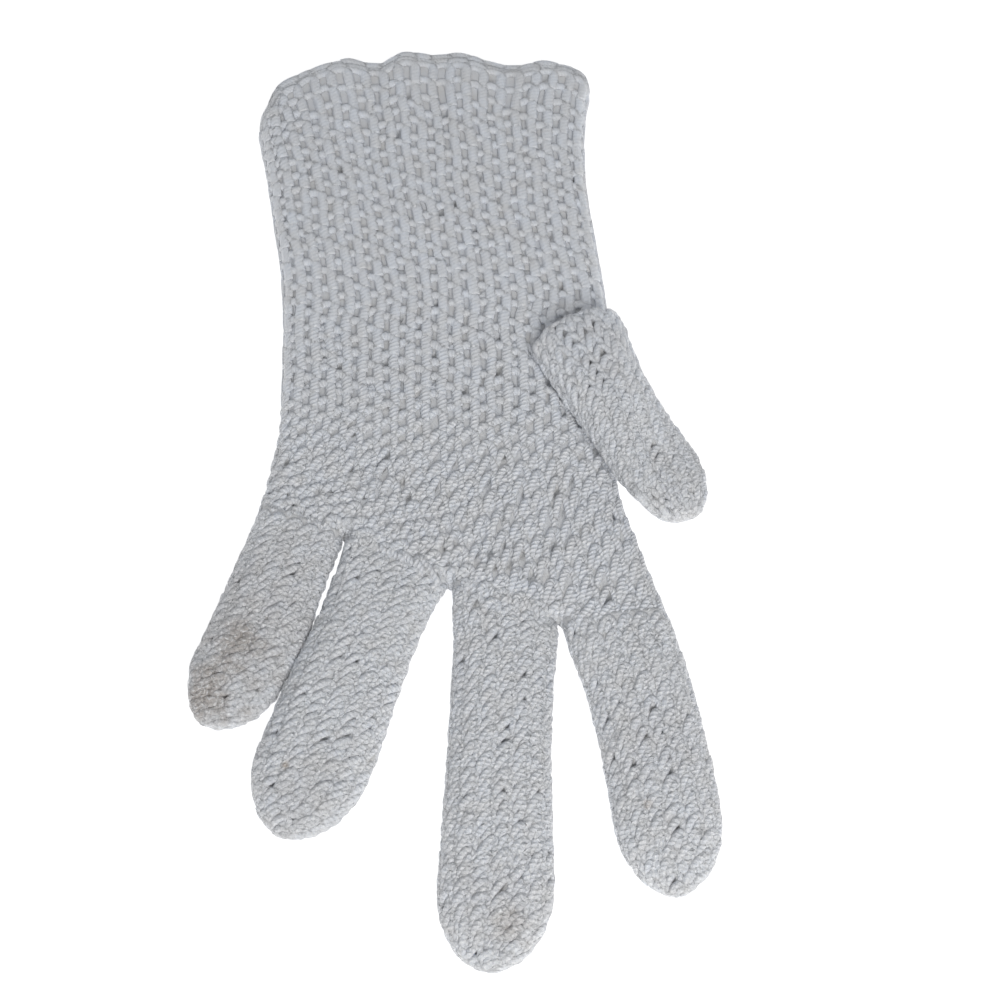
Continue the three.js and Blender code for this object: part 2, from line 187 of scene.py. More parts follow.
# x and y of the middle, width, thickness, share of the thickness below the edges
THUMB_ROWS = [
    (26.4, 31.2, 25.0, 8.4, 0.2), (31.2, 21.2, 23.4, 9.6, 0.24), (36.7, 10.8, 21.8, 9.8, 0.3),
    (42.4, 0.8, 21.4, 9.7, 0.36), (47.5, -7.1, 21.6, 9.5, 0.42), (51.7, -11.6, 20.4, 9.2, 0.44),
    (56.2, -16.0, 18.4, 8.6, 0.44),
]

# The tables' own zero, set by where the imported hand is
_, hand_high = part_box("hand")
SHIFT = np.array([hand_high.x / MM - HAND_ROWS[-1, 2], hand_high.y / MM - HAND_ROWS[0, 1], 0.0])


def smooth(v):
    """A soft step: 0 up to 0, 1 from 1."""
    t = np.clip(v, 0, 1)
    return t * t * (3 - 2 * t)


def unit(vectors):
    """The vectors made 1 long."""
    return vectors / np.maximum(np.linalg.norm(vectors, axis=-1, keepdims=True), 1e-9)


def running(steps):
    """Lengths along a path at each of its points, from its steps."""
    return np.concatenate([[0], np.cumsum(steps)])


def hermite(spots, values, where):
    """A smooth value between the rows of a table."""
    slope = np.empty(len(values))
    slope[1:-1] = (values[2:] - values[:-2]) / (spots[2:] - spots[:-2])
    slope[0] = (values[1] - values[0]) / (spots[1] - spots[0])
    slope[-1] = (values[-1] - values[-2]) / (spots[-1] - spots[-2])
    i = np.clip(np.searchsorted(spots, where, side="right") - 1, 0, len(spots) - 2)
    span = spots[i + 1] - spots[i]
    t = np.clip((where - spots[i]) / span, 0, 1)
    t2, t3 = t * t, t * t * t
    return (
        values[i] * (2 * t3 - 3 * t2 + 1)
        + slope[i] * span * (t3 - 2 * t2 + t)
        + values[i + 1] * (3 * t2 - 2 * t3)
        + slope[i + 1] * span * (t3 - t2)
    )


def places_around(half_width, radius, edge_steps, flat_steps):
    """Shares of the half width round a flattened tube, and 1 for the top, -1 for the bottom."""
    flat = max(LEAST_FLAT, 1 - radius / half_width)
    quarter = flat + (1 - flat) * np.sin(np.arange(edge_steps, 0, -1) / edge_steps * math.pi / 2)
    half = np.concatenate([quarter, np.linspace(flat, -flat, flat_steps + 1), -quarter[::-1]])
    across = np.concatenate([half, half[-2:0:-1]])
    side = np.concatenate([np.ones(len(half)), -np.ones(len(half) - 2)])
    return across, side


def fullness(across, half_width, radius):
    """Half thickness across the width, as a share of the thickest."""
    a = np.abs(across)
    flat = np.maximum(0, 1 - radius / half_width)
    q = np.clip((a - flat) / (1 - flat), 0, 1)
    return (1 - CROWN * a**CROWN_POWER) * np.sqrt(np.maximum(0, 1 - q * q))


def pressed(x, y):
    """How far the solid hand's top is pressed down under the thumb."""
    sideways = smooth((x - PRESS_X[0]) / (PRESS_X[1] - PRESS_X[0]))
    along = smooth((y - PRESS_Y[0]) / PRESS_SOFT) * smooth((PRESS_Y[1] - y) / PRESS_SOFT)
    return PRESS_DEPTH * sideways * along


def tucked(x, y):
    """How far the hand's yarn gives way under the thumb: only where the thumb lies on it."""
    line = np.array(THUMB_ROWS)
    nearest = np.full(np.shape(x), np.inf)
    for (x1, y1, wide, *_), (x2, y2, *_) in zip(line[:-1], line[1:]):
        run = (x2 - x1) ** 2 + (y2 - y1) ** 2
        t = np.clip(((x - x1) * (x2 - x1) + (y - y1) * (y2 - y1)) / run, 0, 1)
        away = np.hypot(x - x1 - t * (x2 - x1), y - y1 - t * (y2 - y1)) - wide / 2
        nearest = np.minimum(nearest, away)
    (x1, y1, *_), (x2, y2, *_) = line[:2]
    behind = ((x1 - x) * (x2 - x1) + (y1 - y) * (y2 - y1)) / math.hypot(x2 - x1, y2 - y1)
    nearest = np.maximum(nearest, behind - TUCK_BEHIND)
    return PRESS_DEPTH * smooth((TUCK_START - nearest) / TUCK_SOFT)


def hem_shape(across):
    """The hem's rise over a straight line."""
    return np.interp(across, HEM_OUTLINE[:, 0], HEM_OUTLINE[:, 1])


def web_shape(across):
    """The rise of the line through the finger roots over a straight line."""
    first, last = FINGER_LINE[0], FINGER_LINE[-1]
    x = first[0] + (last[0] - first[0]) * across
    straight = first[1] + (last[1] - first[1]) * across
    return np.interp(x, FINGER_LINE[:, 0], FINGER_LINE[:, 1]) - straight


def hand_top(x, y):
    """The height of the hand's top in the plan view, softened past its thumb side."""
    rows = HAND_ROWS[::-1]
    left = np.interp(y, rows[:, 1], rows[:, 0])
    right = np.interp(y, rows[:, 3], rows[:, 2])
    half_width = (right - left) / 2
    near = np.minimum(x, right - DRAPE_INSET)
    across = np.clip((near - (left + right) / 2) / half_width, -1, 1)
    full = fullness(across, half_width, WIDE_EDGE)
    height = MIDDLE_SHARE * HAND_THICK + HAND_THICK / 2 * SWELL * full
    height = height - pressed(near, y) * full + THUMB_LIFT
    return height * (1 - smooth((x - (right - DRAPE_START)) / DRAPE_REACH))


class Surface:
    """A tube's outer skin as a dense grid, even around and ordered along, with its outward normals."""

    AROUND = 224
    LEAST_GIRTH = 1e-6

    def __init__(self, grid, closed_start, closed_end):
        points = np.array([self.even_ring(ring) for ring in grid])
        around = np.roll(points, -1, axis=1) - np.roll(points, 1, axis=1)
        normals = unit(np.cross(around, np.gradient(points, axis=0)))
        centres = points.mean(axis=1)
        middle = len(points) // 2
        if (normals[middle] * (points[middle] - centres[middle])).sum() < 0:
            normals = -normals
        if closed_start:
            normals[0] = unit(centres[0] - centres[3])
        if closed_end:
            normals[-1] = unit(centres[-1] - centres[-4])
        self.points, self.normals = points, normals
        self.length = running(np.linalg.norm(np.diff(points, axis=0), axis=2).mean(axis=1))
        self.girth = np.linalg.norm(around, axis=2).sum(axis=1) / 2

    def even_ring(self, ring):
        """The ring's points spaced evenly, or all at one spot where the tube closes."""
        loop = np.vstack([ring, ring[:1]])
        run = running(np.linalg.norm(np.diff(loop, axis=0), axis=1))
        if run[-1] < self.LEAST_GIRTH:
            return np.repeat(ring[:1], self.AROUND, axis=0)
        even = np.arange(self.AROUND) / self.AROUND * run[-1]
        return np.stack([np.interp(even, run, loop[:, k]) for k in range(3)], axis=1)

    def row_at(self, length):
        """The grid row, with its fraction, at a mean length along the tube."""
        row = np.interp(length, self.length, np.arange(len(self.length)))
        before = np.minimum(0, length) / self.length[1]
        after = np.maximum(0, length - self.length[-1]) / (self.length[-1] - self.length[-2])
        return row + before + after

    def at(self, u, row):
        """Points and normals at a share around and a grid row; past an end it runs on straight."""
        last = len(self.points) - 1
        i = np.clip(np.floor(row).astype(int), 0, last - 1)
        f = (row - i)[..., None]
        spot = (u % 1.0) * self.AROUND
        j = np.floor(spot).astype(int) % self.AROUND
        g = (spot - np.floor(spot))[..., None]
        k = (j + 1) % self.AROUND

        def mix(values, share):
            low = values[i, j] * (1 - g) + values[i, k] * g
            high = values[i + 1, j] * (1 - g) + values[i + 1, k] * g
            return low * (1 - share) + high * share

        return mix(self.points, f), unit(mix(self.normals, np.clip(f, 0, 1)))


def wide_surface(table, outline, webs=()):
    """The outer skin of the cuff or the hand, closed at the webs between fingers."""
    spots = np.arange(len(table), dtype=float)
    where = np.linspace(0, len(table) - 1, WIDE_STATIONS)
    left_x, left_y, right_x, right_y, part, thick, wave = (
        hermite(spots, table[:, k], where)[:, None] for k in range(7)
    )
    across, side = places_around(HALF_HAND, WIDE_EDGE, *WIDE_STEPS)
    half_width = np.hypot(right_x - left_x, right_y - left_y) / 2
    share = (across + 1) / 2
    x = left_x + (right_x - left_x) * share
    y = left_y + (right_y - left_y) * share + part * outline(share)
    full = fullness(across[None, :], half_width, WIDE_EDGE)
    z = np.maximum(0, MIDDLE_SHARE * thick + side * thick / 2 * SWELL * full)
    waves = wave * np.sin(share * WAVE_RATE + WAVE_START)
    z = np.where(side > 0, z - tucked(x, y) * full + waves * full, z)
    middle = MIDDLE_SHARE * thick
    for web_x, web_y in webs:
        open_share = smooth(np.hypot(x - web_x, y - web_y) / WEB_RADIUS)
        z = middle + (z - middle) * (WEB_LEFT + (1 - WEB_LEFT) * open_share)
    return Surface(np.stack([x, y, z], axis=2), False, False)


def narrow_outline(length, tip, folded):
    """Lengths along a finger or the thumb, and the share of its width there: less where it closes."""
    rounded = length - tip + tip * np.sin(np.linspace(0, 1, TIP_STATIONS)[1:] * math.pi / 2)
    if folded:
        fold = ROOT_FOLD * (1 - np.cos(np.linspace(0, 1, FOLD_STATIONS) * math.pi / 2))
        rest = np.linspace(ROOT_FOLD, length - tip, FOLDED_STATIONS)[1:]
        body = np.concatenate([fold, rest])
    else:
        body = np.linspace(SEAM_GAP, length - tip, BODY_STATIONS)
    s = np.concatenate([body, rounded])
    share = np.ones(len(s))
    from_tip = np.maximum(0, length - s)
    near_tip = from_tip < tip
    share[near_tip] *= np.sqrt(np.maximum(0, 1 - (1 - from_tip[near_tip] / tip) ** 2))
    if folded:
        near_root = s < ROOT_FOLD
        share[near_root] *= (1 - (1 - s[near_root] / ROOT_FOLD) ** 3) ** (1 / 3)
    return s, share


def narrow_surface(table, root_side=None, folded=False):
    """The outer skin of a finger, whose root lies along root_side, or of the folded thumb."""
    table = np.array(table)
    spots = running(np.hypot(np.diff(table[:, 0]), np.diff(table[:, 1])))
    length = spots[-1]

    def value(k, s):
        return hermite(spots, table[:, k], s)

    s, share = narrow_outline(length, TIP_LENGTH * table[-2, 2], folded)
    after, before = np.minimum(length, s + 1), np.maximum(0, s - 1)
    ahead = unit(np.stack([value(k, after) - value(k, before) for k in (0, 1)], axis=1))
    sideways = np.stack([-ahead[:, 1], ahead[:, 0]], axis=1)
    radius = np.full(len(s), NARROW_EDGE)
    if root_side is not None:
        turn = (1 - smooth(s / ROOT_TURN))[:, None]
        sideways = unit(sideways * (1 - turn) + root_side * turn)
        radius = ROOT_EDGE + (NARROW_EDGE - ROOT_EDGE) * smooth(s / ROOT_BLEND)
    across, side = places_around(table[1, 2] / 2, NARROW_EDGE, *NARROW_STEPS)
    full_width = value(2, s) / 2
    half_width = np.maximum(0.0, full_width * share)
    middle = np.stack([value(0, s), value(1, s)], axis=1)
    x = middle[:, :1] + sideways[:, :1] * half_width[:, None] * across
    y = middle[:, 1:] + sideways[:, 1:] * half_width[:, None] * across
    swell = fullness(across[None, :], full_width[:, None], radius[:, None]) * np.sqrt(share)[:, None]
    thick = value(3, s)
    if folded:
        level = value(4, s) * table[1, 3]
        rest = hand_top(x, y)
        bridge = np.maximum(0, hand_top(middle[:, :1], middle[:, 1:]) - rest) * BRIDGE_SHARE
        rise = 1 - ROOT_SINK * (1 - smooth(s / ROOT_RISE))
    else:
        level = MIDDLE_SHARE * table[1, 3] * np.ones(len(s))
        rest = bridge = np.zeros_like(x)
        rise = np.ones(len(s))
    top = ((thick - level)[:, None] + bridge) * rise[:, None]
    reach = np.maximum(LEAST_REACH, np.where(side > 0, top, level[:, None] * SWELL))
    z = np.maximum(0, level[:, None] + side * reach * swell) + rest
    return Surface(np.stack([x, y, z], axis=2), folded, True)


# One stitch, as points across (0 to 1 between ridges), up (0 to 1 over its row) and height in mm.
# In the cuff the yarn climbs a ridge and crosses to the next as a rung; elsewhere it comes down again.
WIDE_LOOP = np.array([
    (0.0, -0.1, -0.64), (0.0, 0.1, -0.6), (0.0, 0.3, -0.59), (0.0, 0.5, -0.59), (0.0, 0.7, -0.6),
    (0.05, 0.86, -0.64), (0.22, 0.97, -0.74), (0.42, 1.03, -0.79), (0.6, 1.03, -0.79),
    (0.78, 0.98, -0.84), (0.92, 0.92, -1.0),
])
SLANTED_LOOP = np.array([
    (0.14, -0.2, -1.4), (0.1, 0.06, -1.15), (0.06, 0.32, -1.08), (0.06, 0.6, -1.04),
    (0.12, 0.86, -0.98), (0.28, 0.98, -0.86), (0.46, 0.88, -0.74), (0.62, 0.62, -0.7),
    (0.78, 0.34, -0.72), (0.92, 0.06, -0.95), (0.98, -0.2, -1.4),
])

# The yarn behind, that the next row is hooked over
WIDE_BAR = np.array([(0.9, 1.25, -1.5), (0.64, 1.35, -1.3), (0.34, 1.48, -1.3), (0.14, 1.7, -1.5)])
PALM_BAR = np.array([(0.7, -0.1, -1.6), (0.52, 0.16, -1.16), (0.38, 0.42, -1.14), (0.22, 0.72, -1.6)])
NARROW_BAR = np.array([(0.68, -0.1, -1.3), (0.5, 0.16, -0.86), (0.36, 0.44, -0.84), (0.22, 0.74, -1.2)])

# The chain along an open edge, outside, on its band and inside
EDGE_OUT = np.array([(-0.2, 1.38, -1.12), (0.2, 1.43, -1.0), (0.7, 1.45, -1.0), (1.2, 1.4, -1.12)])
EDGE_BAND = np.array([(-0.2, 1.12, -1.0), (0.2, 1.18, -0.9), (0.7, 1.19, -0.9), (1.2, 1.14, -1.0)])
EDGE_IN = np.array([(-0.2, 1.38, -1.8), (0.25, 1.43, -2.0), (0.7, 1.43, -2.05), (1.2, 1.38, -1.8)])

# Yarn: sides of its tube, twist in radians for each mm, steps along a bar and along the edge chain, and
# where across a stitch its ridge narrows to the rung
YARN_SIDES = 6
PLY_TURN = 2.1
BAR_STEPS = 3
EDGE_STEPS = 6
RUNG_START = 0.02
RUNG_BLEND = 0.16

# For even steps along a stitch: about how many mm its three measures stand for, and how finely it is cut
STITCH_SIZE = (4.0, 4.0, 1.0)
FINE_STEPS = 12

# How a stitch differs from its neighbours: its stretch, place and lean as shares of the look's wobble,
# its thickness and its tone
OWN_STRETCH = 0.5
OWN_RAISE = 0.7
OWN_ASIDE = 0.8
OWN_LEAN = 0.6
OWN_THICKNESS = 0.05
OWN_TONE = 0.08

# Slow waves of the columns and of the rows: size in stitches, radians for each mm along, turns round;
# the step from a piece's seed to theirs, and the length near its ends over which they die away
COLUMN_WAVES = ((0.06, 0.21, 3), (0.04, 0.47, -5))
ROW_WAVES = ((0.09, 0.13, 7), (0.07, -0.31, 13))
WAVE_SEED = 7
CALM_LENGTH = 8.0

# Fewest stitches round, and the share of the usual girth that still has all of them
LEAST_STITCHES = 6
FULL_GIRTH = 0.9

# The wall behind the loops, and its pits
WALL_THICK = 0.6
WALL_STEP = 0.8
WALL_AROUND = (80, 168)
PIT_SIZE = 0.6
PIT_DEPTH = 1.5

# Nothing is lower than this over the floor, in m
LEAST_HEIGHT = 0.00002

YARN_SLOT, WALL_SLOT = 0, 1


def curve(points, steps):
    """Even steps along a smooth curve through a stitch's points."""
    fine = np.linspace(0, len(points) - 1, FINE_STEPS * len(points))
    spots = np.arange(len(points), dtype=float)
    path = np.stack([hermite(spots, points[:, k], fine) for k in range(3)], axis=1)
    run = running(np.linalg.norm(np.diff(path * STITCH_SIZE, axis=0), axis=1))
    even = np.linspace(0, run[-1], steps + 1)
    return np.stack([np.interp(even, run, path[:, k]) for k in range(3)], axis=1)


class Yarn:
    """Gathers strands of yarn and the wall behind them into one mesh."""

    def __init__(self):
        self.points, self.faces, self.tones, self.marks = [], [], [], []
        self.pits = []
        self.count = 0

    def add(self, points, faces, tones, slot):
        """faces are pairs: corner numbers, and the corners' places on the yarn or None."""
        self.points.append(points)
        self.tones.append(tones)
        for corners, marks in faces:
            self.faces.append((corners + self.count, slot))
            self.marks.append(np.zeros((corners.size, 2)) if marks is None else marks.reshape(-1, 2))
        self.count += len(points)

    def strands(self, path, normal, radius, tone, phase, wide):
        """Tubes along paths of shape (strand, step, 3), flattened by the factor wide of each step."""
        n, m = path.shape[:2]
        ahead = unit(np.gradient(path, axis=1))
        side = unit(np.cross(ahead, normal))
        out = np.cross(side, ahead)
        k = np.arange(YARN_SIDES)
        angle = phase[:, None, None] + 2 * math.pi * k / YARN_SIDES
        sideways = wide[:, None] * np.cos(angle) * radius[:, :, None]
        upwards = np.sin(angle) * radius[:, :, None]
        ring = path[:, :, None] + side[:, :, None] * sideways[..., None]
        ring = ring + out[:, :, None] * upwards[..., None]

        # Squares along each strand, and its two ends
        first = (np.arange(n)[:, None] * m + np.arange(m - 1)) * YARN_SIDES
        a = first[..., None] + k
        b = first[..., None] + (k + 1) % YARN_SIDES
        quads = np.stack([a, b, b + YARN_SIDES, a + YARN_SIDES], axis=-1).reshape(-1, 4)
        low = np.arange(n)[:, None] * m * YARN_SIDES + k[::-1]
        high = np.arange(n)[:, None] * m * YARN_SIDES + (m - 1) * YARN_SIDES + k

        # Places on the yarn: turns round with its twist, and mm along
        run = np.zeros((n, m))
        run[:, 1:] = np.cumsum(np.linalg.norm(np.diff(path, axis=1), axis=2), axis=1)
        turns = PLY_TURN * run / (2 * math.pi)
        marks = np.zeros((n, m - 1, YARN_SIDES, 4, 2))
        marks[..., 0] = np.stack([k, k + 1, k + 1, k], axis=-1) / YARN_SIDES
        marks[..., :2, 0] += turns[:, :-1, None, None]
        marks[..., 2:, 0] += turns[:, 1:, None, None]
        marks[..., :2, 1] = run[:, :-1, None, None]
        marks[..., 2:, 1] = run[:, 1:, None, None]
        faces = [(quads, marks), (low, None), (high, None)]
        tones = np.repeat(tone.reshape(-1), YARN_SIDES)
        self.add(ring.reshape(-1, 3), faces, tones, YARN_SLOT)

    def wall(self, surface, left_out, lengths, depth):
        """The fabric behind the loops: an outer and an inner side joined at their rims, with pits."""
        around = int(np.clip(surface.girth.max() / WALL_STEP, *WALL_AROUND))
        rows = surface.row_at(lengths)
        grid_u, grid_row = np.meshgrid(np.arange(around) / around, rows)
        base, normal = surface.at(grid_u, grid_row)
        n = len(rows)
        plain = depth
        for pit in self.pits:
            deeper = np.linalg.norm(base - pit, axis=2, keepdims=True) < PIT_SIZE
            depth = depth + (PIT_DEPTH - np.minimum(PIT_DEPTH, depth - plain)) * deeper
        skins = [base - normal * h for h in (depth, depth + WALL_THICK)]
        present = np.ones((n - 1, around), bool)
        if left_out is not None:
            beside = np.roll(base, -1, 1)
            centre = (base[:-1] + base[1:] + beside[:-1] + beside[1:]) / 4
            present = ~left_out(centre, (normal[:-1] + normal[1:]) / 2)
        i, j = np.nonzero(present)
        k = (j + 1) % around
        corners = [i * around + j, (i + 1) * around + j, (i + 1) * around + k, i * around + k]
        inside = n * around
        faces = [np.stack(corners, axis=1), np.stack([c + inside for c in corners[::-1]], axis=1)]
        padded = np.zeros((n + 1, around), bool)
        padded[1:-1] = present
        # Each side of a square: the row and column of the square beside it, and the side's two corners
        for row_off, column_off, first, second in ((0, -1, 0, 1), (1, 0, 1, 2), (0, 1, 2, 3), (-1, 0, 3, 0)):
            free = ~padded[i + 1 + row_off, (j + column_off) % around]
            a, b = corners[first][free], corners[second][free]
            faces.append(np.stack([b, a, a + inside, b + inside], axis=1))
        points = np.concatenate([skin.reshape(-1, 3) for skin in skins])
        self.add(points, [(f, None) for f in faces], np.full(len(points), 0.5), WALL_SLOT)

    def build(self, name, node, materials):
        """Makes the mesh, rides it on the glove's body and replaces the CAD node."""
        points = (np.concatenate(self.points) + SHIFT) * MM
        points[:, 2] = np.maximum(points[:, 2], LEAST_HEIGHT)
        faces = [face for group, slot in self.faces for face in group.tolist()]
        slots = np.concatenate([np.full(len(group), slot) for group, slot in self.faces])
        mesh = bpy.data.meshes.new(name)
        mesh.from_pydata(points.tolist(), [], faces)
        mesh.polygons.foreach_set("use_smooth", np.ones(len(faces), bool))
        mesh.polygons.foreach_set("material_index", slots.astype(np.int32))
        tone = mesh.attributes.new("tone", "FLOAT", "POINT")
        tone.data.foreach_set("value", np.concatenate(self.tones).astype(np.float32))
        yarn_place = mesh.uv_layers.new(name="yarn_place")
        yarn_place.data.foreach_set("uv", np.concatenate(self.marks).astype(np.float32).ravel())
        for material in materials:
            mesh.materials.append(material)
        mesh.update()
        piece = bpy.data.objects.new(name, mesh)
        bpy.context.scene.collection.objects.link(piece)
        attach(piece, "root")
        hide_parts(node)


def waviness(u, length, seed):
    """A slow hand-made waver of the columns and rows, the same for neighbouring stitches."""
    rng = np.random.default_rng(seed)

    def sway(waves):
        return sum(
            size * np.sin(length * rate + 2 * math.pi * turns * u + rng.uniform(0, 2 * math.pi))
            for size, rate, turns in waves
        )

    return sway(COLUMN_WAVES), sway(ROW_WAVES)


def look_at(looks, share):
    """The look at a share of the rows, mixed from its neighbours in a list of (share, look)."""
    shares = [spot for spot, _ in looks]
    after = min(int(np.searchsorted(shares, share, side="right")), len(looks) - 1)
    before = max(0, after - 1)
    span = shares[after] - shares[before]
    part = min(1.0, max(0.0, (share - shares[before]) / span)) if span else 0.0
    first, second = looks[before][1], looks[after][1]
    return {key: first[key] * (1 - part) + second[key] * part for key in first}


def crochet(
    name, node, surface, counts, row_lengths, looks, seed, materials, wall, steps,
    left_out=None, edge=False, parts=1,
):
    """Covers a surface with rows of stitches and puts a wall behind them.

    counts are the stitches in each row and row_lengths the lines between rows. wall is where the wall
    starts, how far it goes past the surface's end, and its stations. steps are the points along a loop,
    left_out says where the tube is open, and parts is how many meshes it is shared out over.
    """
    rng = np.random.default_rng(seed)
    yarns = [Yarn() for _ in range(parts)]
    rows = len(row_lengths) - 1
    row_index = np.arange(rows + 1, dtype=float)
    stagger = np.array([look_at(looks, line / rows)["stagger"] for line in range(rows + 1)])

    def place(template, row, look, steps):
        """One row of loops, bars or edge chain."""
        # The stitches, each a little its own: across, up and height
        count = counts[row]
        stitch = np.arange(count, dtype=float)
        shape = curve(template, steps)
        a, b, h = (np.repeat(shape[None, :, k], count, axis=0) for k in range(3))
        jitter = rng.normal(0, 1, (count, 6))
        wobble = look["wobble"]
        b = b * (1 + OWN_STRETCH * wobble * jitter[:, :1]) + wobble * OWN_RAISE * jitter[:, 1:2]
        a = a + wobble * OWN_ASIDE * jitter[:, 2:3] + OWN_LEAN * wobble * jitter[:, 3:4] * (b - 0.5)
        lower = ((stitch + row) % 2)[:, None]
        h = h * look["height"] - look["sink"] - look["checker"] * lower + look["uneven"] * jitter[:, 4:5]

        # Where they are on the surface: share around and length along
        u = (stitch[:, None] + a) / count
        along = row + 1 - b
        along = along + np.interp(along, row_index, stagger) * (stitch % 2)[:, None]
        length = np.interp(along, row_index, row_lengths)
        length += np.minimum(0, along) * (row_lengths[1] - row_lengths[0])
        length += np.maximum(0, along - rows) * (row_lengths[-1] - row_lengths[-2])
        shift_u, shift_b = waviness(u, length, seed + WAVE_SEED)
        from_ends = np.minimum(length - row_lengths[0], row_lengths[-1] - length)
        calm = np.clip(from_ends / CALM_LENGTH, 0, 1)
        u = u + shift_u * calm / count
        length = length + shift_b * calm * (row_lengths[row + 1] - row_lengths[row])
        path, normal = surface.at(u, surface.row_at(length))

        # The yarn's thickness, flatness, tone and turn
        thick = look["radius"] * (1 + OWN_THICKNESS * jitter[:, 5:6]) * np.ones_like(a)
        wide = np.full(len(shape), look["wide"])
        if template is look["loop"]:
            wide += (look["rung"] - wide) * smooth((shape[:, 0] - RUNG_START) / RUNG_BLEND)
        tone = np.clip(0.5 + OWN_TONE * rng.normal(0, 1, (count, 1)) + 0 * a, 0, 1)
        phase = rng.uniform(0, 2 * math.pi, count)

        # Bars that are left out, pits behind bars, and the slit
        keep = np.ones(count, bool)
        if template is look["bar"]:
            chance = rng.random(count)
            keep = chance >= look["gaps"]
            yarns[-1].pits.extend(path[chance < look["pits"]].mean(axis=1))
        if left_out is not None:
            keep &= ~left_out(path[:, path.shape[1] // 2], normal[:, path.shape[1] // 2])
        path = path + normal * h[..., None]
        part = np.minimum(np.floor(stitch / count * parts), parts - 1).astype(int)
        for k, yarn in enumerate(yarns):
            own = keep & (part == k)
            if own.any():
                yarn.strands(path[own], normal[own], thick[own], tone[own], phase[own], wide)

    for row in range(rows):
        look = look_at(looks, row / rows)
        place(look["loop"], row, look, steps)
        if row > 0 or not edge:
            place(look["bar"], row, look, BAR_STEPS)
    if edge:
        for template in (EDGE_OUT, EDGE_BAND, EDGE_IN):
            place(template, 0, looks[0][1], EDGE_STEPS)
    start, past_end, stations = wall
    lengths = np.linspace(start, surface.length[-1] + past_end, stations)
    done = np.interp(lengths, [row_lengths[0], row_lengths[-1]], [0, 1])
    depths = np.array([look_at(looks, share)["wall"] for share in done])
    yarns[-1].wall(surface, left_out, lengths, depths[:, None, None])
    for k, yarn in enumerate(yarns):
        yarn.build(name if parts == 1 else f"{name}_{k + 1}", node, materials)


def even_rows(surface, start, step_first, step_last, ease=(0, 1)):
    """Lengths of the row lines from start to the surface's end, with steps that change smoothly."""
    total = surface.length[-1] - start
    lengths = [0.0]
    while lengths[-1] < total:
        done = lengths[-1] / total
        change = float(smooth((done - ease[0]) / (ease[1] - ease[0])))
        lengths.append(lengths[-1] + step_first + (step_last - step_first) * change)
    lengths = np.array(lengths)
    return start + lengths * (total / lengths[-1])


def row_counts(surface, lengths, full_count):
    """Stitches in each row: the same in the body, and fewer where the tube closes."""
    mids = (lengths[:-1] + lengths[1:]) / 2
    girth = np.interp(mids, surface.length, surface.girth)
    body = np.median(girth)
    counts = np.where(girth > FULL_GIRTH * body, full_count, np.round(full_count * girth / body))
    return np.maximum(LEAST_STITCHES, counts).astype(int)


# Colours: the cotton, its cream and blue patches as shares of it, the white of its painted glints, its stains,
# its grey-brown patches, and the painted shade of the fabric behind the loops, for the shade in the slits
COTTON = (0.775, 0.795, 0.83)
CREAM_SHARE = (0.968, 0.942, 0.905)
BLUE_SHARE = (1.035, 1.06, 1.1)
PAINTED_GLINT_COLOUR = (0.98, 0.985, 1.0)
BROWN = (0.42, 0.33, 0.24)
GREY_BROWN = (0.43, 0.38, 0.34)
INNER_PAINTED_SHADE = 0.88
INNER_PAINTED_SHADE_TINT = (1.0, 0.985, 0.96)

# Stains, and wide faint grey-brown patches that darken fingers and thumb: x, y and radius in mm, strength,
# colour
STAINS_AND_PATCHES = {
    "finger_little": [
        (-54, -57, 11, 0.75, GREY_BROWN), (-47, -45, 8, 0.6, GREY_BROWN), (-46, -42, 30, 0.3, GREY_BROWN),
    ],
    "finger_ring": [(-35, -72, 1.6, 0.7, BROWN), (-31, -78, 13, 0.16, GREY_BROWN)],
    "finger_middle": [(13, -104, 6, 0.3, BROWN), (9, -100, 15, 0.16, GREY_BROWN)],
    "finger_index": [(41, -80, 1.5, 0.4, BROWN), (41, -66, 18, 0.12, GREY_BROWN)],
    "thumb": [(51, -14, 12, 0.1, GREY_BROWN)],
}

# A stain's or patch's height in m, how ragged it is, and where it starts and ends to fade, as shares of its
# radius
STAIN_HEIGHT = 0.009
STAIN_RAGGED = 1.3
STAIN_FADE = (0.75, 1.65)

# The yarn looks soft above the first y and crisp below the second, in mm: its bump, the painted shade in its
# grooves and its painted glints where it is soft
SOFT_Y, CRISP_Y = 55.0, -15.0
SOFT_RELIEF = 0.35
SOFT_GROOVE = 0.98
SOFT_GLINT = 0.1

# Noise for each metre, the values it fades between, and the bump's depth in m
PATCH_SCALE = 230
PATCH_RANGE = (0.34, 0.66)
STAIN_SCALE = 260
FIBRE_SCALE = 1500
GLINT_RANGE = (0.5, 0.66)
GROOVE_RANGE = (0.0, 0.7)
BUMP_DISTANCE = 0.0003

# How the yarn feels: roughness, specular level, strength of the bump, of the twist and of the fibres in it,
# painted shade in the grooves between plies, strength of the painted glints, and how many plies it shows
CUFF_FEEL = {
    "gloss": 0.5, "shine": 0.6, "relief": 0.9, "twist": 0.8, "fuzz": 1.3, "painted_groove_shade": 0.94, "glint": 0.7,
    "plies": 3,
}
HAND_FEEL = {**CUFF_FEEL, "gloss": 0.38}
FINGER_FEEL = {**CUFF_FEEL, "gloss": 0.28, "shine": 0.85, "twist": 0.62, "fuzz": 2.2, "painted_groove_shade": 0.96}
THUMB_FEEL = {**CUFF_FEEL, "gloss": 0.3, "shine": 0.7, "twist": 0.65, "fuzz": 2.0, "painted_groove_shade": 0.95}
INNER_FEEL = {"gloss": 0.8, "shine": 0.5, "relief": 1.0, "fuzz": 1.0, "glint": 0.0, "plies": 0}


